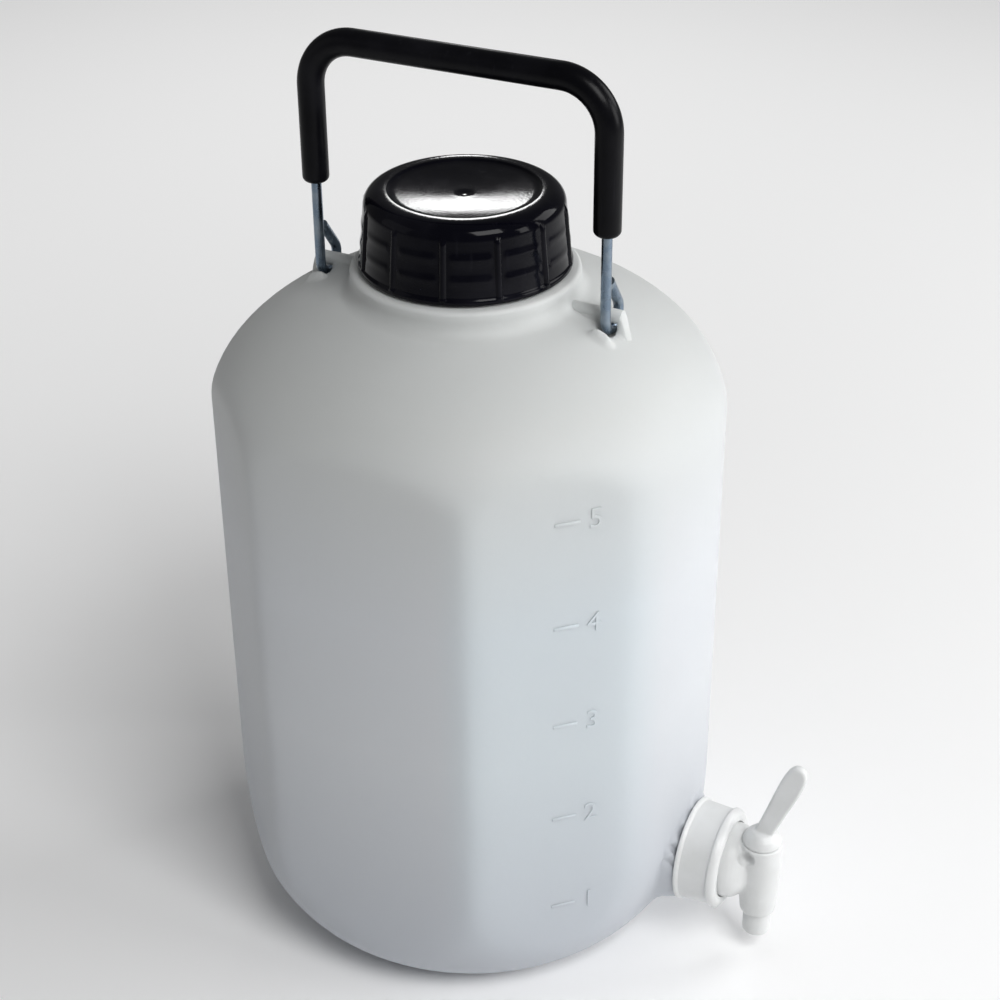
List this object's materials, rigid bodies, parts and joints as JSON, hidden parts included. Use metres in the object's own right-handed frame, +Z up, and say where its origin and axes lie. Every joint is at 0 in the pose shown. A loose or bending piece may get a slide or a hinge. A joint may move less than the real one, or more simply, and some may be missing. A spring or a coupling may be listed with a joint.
{
  "type": "carboy with spigot",
  "caption": "Round five litre plastic carboy with a black screw cap, a swinging wire handle with a grip, and a lever tap on a nut near its base.",
  "frame": {"origin": "centre of the base, on the plane that the bottle stands on", "axes": "+Z up through the neck, +X out along the spigot, the handle hinges along X"},
  "size_m": [0.2263, 0.172, 0.3454],
  "materials": {
    "natural_plastic": "translucent natural, satin",
    "black_plastic": "gloss moulded",
    "liner": "soft foamed",
    "steel_wire": "drawn wire",
    "black_sleeve": "satin tube",
    "gasket": "matt",
    "white_plastic": "satin moulded"
  },
  "bodies": {
    "bottle": {"bottle": "natural_plastic", "spigot_gasket": "gasket", "spigot_nut": "white_plastic", "tap_body": "white_plastic"},
    "liner": {"cap_liner": "liner"},
    "cap": {"cap": "black_plastic"},
    "handle": {"bail_wire": "steel_wire", "grip_sleeve": "black_sleeve"},
    "key": {"tap_key": "white_plastic"}
  },
  "joints": [
    {"name": "handle_swing", "type": "hinge", "parent": "bottle", "child": "handle", "pos_m": [0, 0, 0.25883], "axis": [1, 0, 0], "range_deg": [-90, 60]},
    {"name": "cap_lift", "type": "slide", "parent": "bottle", "child": "liner", "axis": [0, 0, 1], "range_m": [0, 0.034]},
    {"name": "cap_turn", "type": "hinge", "parent": "liner", "child": "cap", "pos_m": [0, 0, 0.29], "axis": [0, 0, 1], "range_deg": [0, 2040]},
    {"name": "tap_turn", "type": "hinge", "parent": "bottle", "child": "key", "pos_m": [0.1211, 0, 0.0405], "axis": [0, 0, 1], "continuous": true}
  ],
  "couplings": [
    {"joint": "cap_lift", "follows": "cap_turn", "m_per_rad": 0.00095493}
  ]
}
